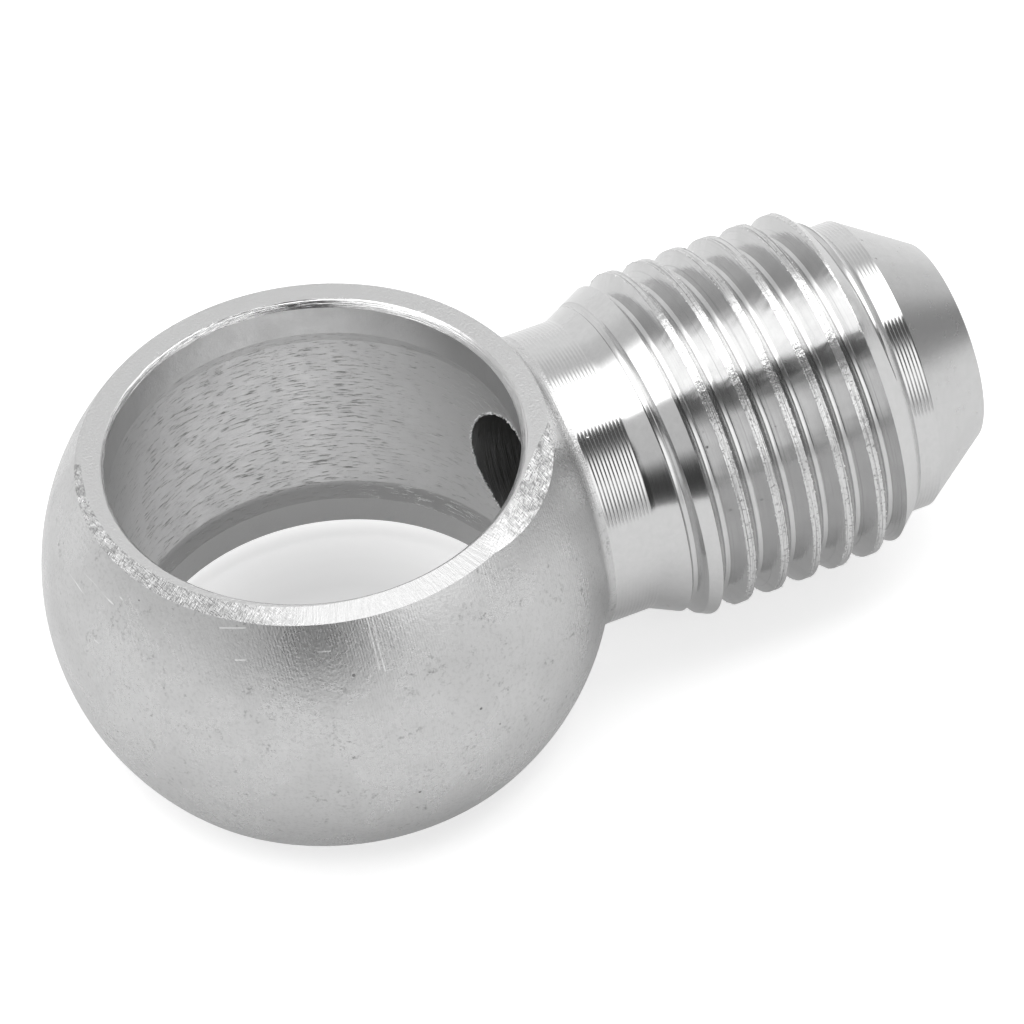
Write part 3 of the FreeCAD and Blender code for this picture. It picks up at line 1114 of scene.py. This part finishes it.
def take_away(body, tool):
    """Cut a tool out of the body, and delete the tool."""
    cut = body.modifiers.new("Cut", "BOOLEAN")
    cut.operation = "DIFFERENCE"
    cut.solver = "EXACT"
    cut.object = tool
    view = bpy.context.evaluated_depsgraph_get()
    mesh = bpy.data.meshes.new_from_object(body.evaluated_get(view))
    body.modifiers.remove(cut)
    body.data = mesh
    bpy.data.objects.remove(tool)


# Between these places along the stem, in millimetres, the crests are ragged.
RAGGED = (13.0, 22.0)
# Without a seed of its own the noise takes the clock, and each run differs.
RAGGED_SEED = 1


def sharpen(mesh, limit):
    """Shade smooth, with sharp edges where the surface turns or its finish changes."""
    mesh.shade_smooth()
    mesh.set_sharp_from_angle(angle=limit)
    finish_of = {}
    for face in mesh.polygons:
        for key in face.edge_keys:
            finish_of.setdefault(key, set()).add(face.material_index)
    for edge in mesh.edges:
        if len(finish_of.get(tuple(edge.key), ())) > 1:
            edge.use_edge_sharp = True


def ragged(mesh, thread, low, high):
    """Roughen the edges of the thread's crests, which the tool tore."""
    noise.seed_set(RAGGED_SEED)
    crest, burr = millimetres(thread, "radius", "burr")
    for vertex in mesh.vertices:
        place = vertex.co
        out = math.hypot(place.y, place.z)
        if crest - out > 0.01 or not low < place.x < high:
            continue
        shift = noise.noise_vector(place * 4.0) * burr
        place.x += shift.x
        sink = 1 - abs(shift.y) / out
        place.y *= sink
        place.z *= sink


# Points on a turn of the crests, on a turn of the last crest's end, and along a stretch of rim.
LINE_STEPS = 72
END_STEPS = 120
RIM_STEPS = 60


def line_mesh(name, lines):
    """A mesh of plain lines through points."""
    vertices = []
    edges = []
    for points in lines:
        first = len(vertices)
        vertices.extend(points)
        edges.extend((first + i, first + i + 1) for i in range(len(points) - 1))
    mesh = bpy.data.meshes.new(name)
    mesh.from_pydata(vertices, edges, [])
    return mesh


def crest_lines(thread, low, high):
    """Both edges of the thread's crests, between two places along the stem."""
    pitch, crest, start = millimetres(thread, "pitch", "crest", "start")
    half_gap = (pitch - crest) / 2
    out = millimetres(thread, "radius") - 0.01
    lines = []
    for side in (-half_gap, half_gap):
        points = []
        for step in range(int(thread.turns * LINE_STEPS)):
            turn = step / LINE_STEPS
            along = start + pitch * turn + side
            if low < along < high:
                around = 2 * math.pi * turn - math.pi / 2
                points.append((along, out * math.cos(around), out * math.sin(around)))
        lines.append(points)
    return lines


def end_line(thread, high):
    """The edge where the last crest runs out into the lead-in."""
    pitch, width, start = millimetres(thread, "pitch", "crest", "start")
    out = millimetres(thread, "radius") - 0.03
    points = []
    for step in range(2 * END_STEPS):
        turn = step / END_STEPS
        crest = start + pitch * (turn + 0.5)
        if abs(math.remainder(high - crest, pitch)) < width / 2:
            around = 2 * math.pi * turn - math.pi / 2
            points.append((high, out * math.cos(around), out * math.sin(around)))
        elif points:
            return [points]
    return [points]


def mouth_line(eye, stem):
    """The torn edge where the passage breaks into the bore's groove."""
    wall = sum(millimetres(eye, "bore_radius", "groove_depth")) - 0.02
    passage = millimetres(stem, "passage_radius")
    points = []
    for step in range(-30, 43):
        turn = step * 2.5 * DEG
        aside = passage * math.cos(turn)
        points.append((math.sqrt(wall**2 - aside**2), aside, passage * math.sin(turn)))
    return [points]


def rim_line(out, height, start, end):
    """A stretch of a circle about the bore's axis, between two bearings in degrees."""
    points = []
    for step in range(RIM_STEPS + 1):
        bearing = (start + (end - start) * step / RIM_STEPS) * DEG
        points.append((out * math.cos(bearing), out * math.sin(bearing), height))
    return [points]


class FITTING_OT_body(bpy.types.Operator):
    """Turn, bore, grind and thread the steel body"""

    bl_idname = "fitting.body"
    bl_label = "Steel Body"

    def execute(self, context):
        scene = context.scene
        eye = scene.fitting_eye
        stem = scene.fitting_stem
        thread = scene.fitting_thread
        materials = all_finishes()
        body = turned_blank(eye, stem, thread, materials)
        for tool in (
            spool(eye, materials),
            crescent_ring(eye, materials),
            facet_wedge(eye, materials),
            thread_groove(thread, materials),
        ):
            take_away(body, tool)
        ragged(body.data, thread, *RAGGED)
        body.data.transform(Matrix.Scale(MM, 4))
        sharpen(body.data, 15 * DEG)
        body.name = "fitting_body"
        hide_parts("banjo_body")
        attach(body, "root")
        return {"FINISHED"}


class FITTING_OT_burrs(bpy.types.Operator):
    """Scatter the burrs along the cut edges"""

    bl_idname = "fitting.burrs"
    bl_label = "Burrs"

    def execute(self, context):
        scene = context.scene
        eye = scene.fitting_eye
        stem = scene.fitting_stem
        thread = scene.fitting_thread
        steel = bpy.data.materials[FINISHES[BURR]]
        half = millimetres(eye, "half_height")
        rim = rim_radius(eye)
        edge = sum(millimetres(eye, "bore_radius", "upper_chamfer"))
        low, high = crest_span(stem, thread)
        tree = burrs_tree()
        rows = [
            ("crest_burrs", crest_lines(thread, low, high), 0.1, 0.045, 0.25),
            ("end_burrs", end_line(thread, high), 0.09, 0.07, 0.75),
            ("mouth_burrs", mouth_line(eye, stem), 0.05, 0.08, 0.8),
            ("crescent_burrs", rim_line(rim - 0.02, half - 0.07, -134, -108), 0.08, 0.08, 0.6),
            ("edge_burrs", rim_line(edge, half - 0.01, 10, 130), 0.12, 0.04, 0.5),
        ]
        for seed, (name, lines, spacing, size, chance) in enumerate(rows):
            inputs = {
                "Spacing": spacing,
                "Size": size,
                "Chance": chance,
                "Seed": 10 * seed,
                "Material": steel,
            }
            flakes = grown(name, tree, inputs, line_mesh(name, lines))
            flakes.data.transform(Matrix.Scale(MM, 4))
            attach(flakes, "root")
        return {"FINISHED"}


# Studio


def studio_world(studio):
    """A white surround, a soft light overhead, and dark gaps that give the steel contrast."""
    world = bpy.data.worlds.new("Studio")
    world.use_nodes = True
    tree = world.node_tree
    back = tree.nodes["Background"]
    way = node(tree, "ShaderNodeTexCoord").outputs["Generated"]
    ahead, aside, up = apart(tree, way)

    def fade(value, start, end):
        return node(
            tree,
            "ShaderNodeMapRange",
            {"interpolation_type": "SMOOTHSTEP"},
            {"Value": value, "From Min": start, "From Max": end},
        ).outputs[0]

    height = sums(tree, "MAXIMUM", up, 0.02)
    slant = sums(tree, "DIVIDE", aside, height)
    reach = sums(tree, "DIVIDE", ahead, height)
    above = sums(tree, "GREATER_THAN", up, 0.05)

    def band(*edges):
        """Where every fade is at its full strength, above the horizon."""
        inside = above
        for edge in edges:
            inside = sums(tree, "MULTIPLY", inside, edge)
        return inside

    overhead = band(
        fade(slant, -0.29, -0.25),
        fade(slant, 0.78, 0.3),
        fade(reach, 1.3, 0.9),
        fade(reach, -1.3, -0.9),
    )
    gap = band(
        fade(slant, -1.0, -0.5),
        fade(slant, -0.25, -0.29),
        fade(reach, 1.2, 0.9),
        fade(reach, -0.5, -0.35),
    )
    behind = sums(tree, "MULTIPLY", fade(aside, 0.3, 0.9), fade(up, 0.7, 0.4))
    light = blend(tree, studio.surround, behind, 1.0)

    def patch(azimuth, elevation, inner, outer):
        """A round soft patch about a direction."""
        flat = math.cos(elevation * DEG)
        middle = (
            flat * math.cos(azimuth * DEG),
            flat * math.sin(azimuth * DEG),
            math.sin(elevation * DEG),
        )
        near = vectors(tree, "DOT_PRODUCT", way, middle, output="Value")
        return fade(near, math.cos(outer * DEG), math.cos(inner * DEG))

    light = blend(tree, light, patch(-62, 30, 14, 26), 1.6)
    light = blend(tree, light, gap, 0.11)
    light = blend(tree, light, patch(-111, 43, 9, 17), 0.05)
    light = blend(tree, light, patch(-115, 14, 9, 22), 0.05)
    light = blend(tree, light, patch(-2, 5, 8, 24), 0.25)
    light = blend(tree, light, overhead, studio.softbox)
    seen = node(tree, "ShaderNodeLightPath").outputs["Is Camera Ray"]
    light = blend(tree, light, seen, 1.0)
    wire(tree, light, back.inputs["Strength"])
    back.inputs["Color"].default_value = (1, 1, 1, 1)
    bpy.context.scene.world = world


def floor_material():
    """White floor that keeps the shadow, and reads as white to the camera and in the steel; close
    under the eye its glow to the camera is lower, a painted shadow.
    """
    material = bpy.data.materials.new("White floor")
    material.use_nodes = True
    tree = material.node_tree
    paint = tree.nodes["Principled BSDF"]
    paint.inputs["Base Color"].default_value = (0.55, 0.55, 0.55, 1)
    paint.inputs["Roughness"].default_value = 0.9
    paint.inputs["Specular IOR Level"].default_value = 0.0
    place = node(tree, "ShaderNodeTexCoord").outputs["Object"]
    away = vectors(tree, "LENGTH", place, output="Value")
    # Painted shadow: the camera sees less glow on the floor close under the middle of the eye,
    # inside and under the ring.
    camera_glow_with_painted_shadow = node(
        tree,
        "ShaderNodeMapRange",
        None,
        {"Value": away, "From Min": 9 * MM, "From Max": 12 * MM, "To Min": 0.33, "To Max": 0.66},
    ).outputs[0]
    rays = node(tree, "ShaderNodeLightPath").outputs
    steel = sums(tree, "MAXIMUM", rays["Is Glossy Ray"], rays["Is Transmission Ray"])
    glow = sums(tree, "MULTIPLY", steel, 0.26)
    glow = sums(tree, "MULTIPLY_ADD", rays["Is Camera Ray"], camera_glow_with_painted_shadow, glow)
    paint.inputs["Emission Color"].default_value = (1, 1, 1, 1)
    wire(tree, glow, paint.inputs["Emission Strength"])
    return material


class FITTING_OT_studio(bpy.types.Operator):
    """Set the white floor, the soft light and the camera"""

    bl_idname = "fitting.studio"
    bl_label = "Studio"

    def execute(self, context):
        scene = context.scene
        studio = scene.fitting_studio
        studio_world(studio)

        reach = 0.6
        level = LOW[2]
        corners = [(-reach, -reach, level), (reach, -reach, level)]
        corners += [(reach, reach, level), (-reach, reach, level)]
        floor = mesh_object("floor", corners, [(0, 1, 2, 3)], [floor_material()])

        camera = link(bpy.data.objects.new("Camera", bpy.data.cameras.new("Camera")))
        camera.data.lens = studio.focal_length
        camera.data.sensor_width = 36
        camera.data.clip_start = 0.01
        turn = Matrix.Rotation(studio.azimuth, 4, "Z")
        turn @= Matrix.Rotation(math.pi / 2 - studio.elevation, 4, "X")
        turn @= Matrix.Rotation(studio.roll, 4, "Z")
        camera.matrix_world = Matrix.Translation(Vector(studio.place)) @ turn
        scene.camera = camera
        scene.view_settings.view_transform = "Standard"
        return {"FINISHED"}


class FITTING_PT_panel(bpy.types.Panel):
    """Lists the steps that build the fitting"""

    bl_label = "Banjo Fitting"
    bl_idname = "FITTING_PT_panel"
    bl_space_type = "VIEW_3D"
    bl_region_type = "UI"
    bl_category = "Fitting"

    def draw(self, context):
        column = self.layout.column()
        for step in STEPS:
            column.operator(step.bl_idname)


STEPS = (FITTING_OT_body, FITTING_OT_burrs, FITTING_OT_studio)
GROUPS = {
    "fitting_eye": EyeSizes,
    "fitting_stem": StemSizes,
    "fitting_thread": ThreadSizes,
    "fitting_studio": StudioSettings,
}


def register():
    for kind in (*GROUPS.values(), *STEPS, FITTING_PT_panel):
        bpy.utils.register_class(kind)
    for name, kind in GROUPS.items():
        setattr(bpy.types.Scene, name, bpy.props.PointerProperty(type=kind))


def unregister():
    for name in GROUPS:
        delattr(bpy.types.Scene, name)
    for kind in reversed((*GROUPS.values(), *STEPS, FITTING_PT_panel)):
        bpy.utils.unregister_class(kind)


def main():
    register()
    bpy.ops.fitting.body()
    bpy.ops.fitting.burrs()
    bpy.ops.fitting.studio()


if __name__ == "__main__":
    main()
